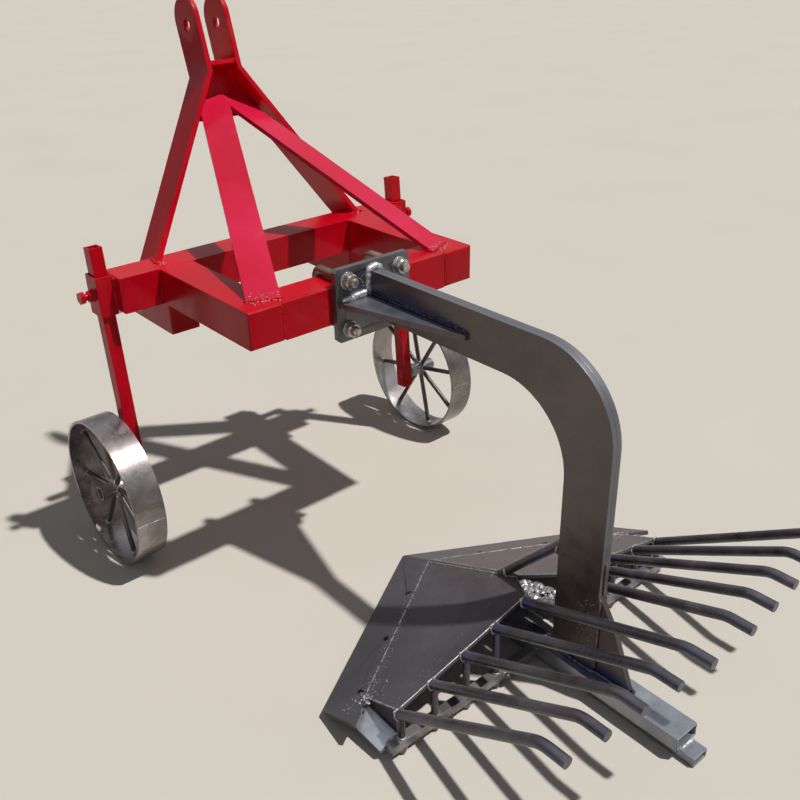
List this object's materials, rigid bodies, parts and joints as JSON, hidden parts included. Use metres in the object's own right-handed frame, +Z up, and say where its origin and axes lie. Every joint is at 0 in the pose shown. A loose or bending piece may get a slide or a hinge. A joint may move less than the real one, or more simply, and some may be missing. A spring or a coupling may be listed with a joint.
{
  "type": "potato digger",
  "caption": "Tractor-mounted potato digger: box-tube frame with bent A-mast, gauge wheels on sliding posts, curved shank and a V share with a comb of tines.",
  "frame": {"origin": "on the ground under the middle of the digger's bounding box, in its mirror plane", "axes": "+Y is the direction of travel, towards the tractor; +X is to the right seen from behind; +Z is up"},
  "size_m": [1.0246, 1.5399, 1.191],
  "materials": {
    "red_paint": "gloss enamel",
    "raw_steel": "clear-coated mill steel",
    "bright_steel": "clear-coated bright steel",
    "zinc": "zinc plated"
  },
  "bodies": {
    "frame": {"front_beam": "red_paint", "rear_beam": "red_paint", "side_tube_left": "red_paint", "side_tube_right": "red_paint", "hitch_arm_left": "red_paint", "hitch_arm_right": "red_paint", "lower_pin_left": "zinc", "lower_pin_right": "zinc", "mast_plate_left": "red_paint", "mast_plate_right": "red_paint", "mast_crossplate": "red_paint", "mast_web": "red_paint", "brace_left": "red_paint", "brace_right": "red_paint", "post_socket_left": "red_paint", "post_socket_right": "red_paint", "lock_bolt_left": "red_paint", "lock_bolt_right": "red_paint", "shank_flange": "raw_steel", "ubolts": "zinc", "ubolt_nuts": "zinc", "shank_plate_left": "raw_steel", "shank_plate_right": "raw_steel", "flange_gussets": "raw_steel", "foot_gusset": "raw_steel", "foot_tube": "bright_steel", "skid_tube": "bright_steel", "ridge_rib": "raw_steel", "ridge_strut": "raw_steel", "deck_tie": "raw_steel", "blade_left": "raw_steel", "blade_right": "raw_steel", "deck_left": "raw_steel", "deck_right": "raw_steel", "tines_left": "raw_steel", "tines_right": "raw_steel", "tine_stays_left": "raw_steel", "tine_stays_right": "raw_steel", "rear_rail_left": "raw_steel", "rear_rail_right": "raw_steel", "end_plates": "bright_steel", "cheek_plates": "raw_steel"},
    "post_left": {"gauge_post_left": "red_paint", "wheel_axle_left": "zinc"},
    "wheel_left": {"gauge_wheel_left": "bright_steel"},
    "post_right": {"gauge_post_right": "red_paint", "wheel_axle_right": "zinc"},
    "wheel_right": {"gauge_wheel_right": "bright_steel"}
  },
  "joints": [
    {"name": "post_left_height", "type": "slide", "parent": "frame", "child": "post_left", "axis": [0, 0.061, 0.9981], "range_m": [-0.05, 0.18]},
    {"name": "wheel_left_spin", "type": "hinge", "parent": "post_left", "child": "wheel_left", "pos_m": [-0.4723, 0.5241, 0.175], "axis": [1, 0, 0], "continuous": true},
    {"name": "post_right_height", "type": "slide", "parent": "frame", "child": "post_right", "axis": [0, 0.061, 0.9981], "range_m": [-0.05, 0.18]},
    {"name": "wheel_right_spin", "type": "hinge", "parent": "post_right", "child": "wheel_right", "pos_m": [0.4723, 0.5241, 0.175], "axis": [1, 0, 0], "continuous": true}
  ]
}
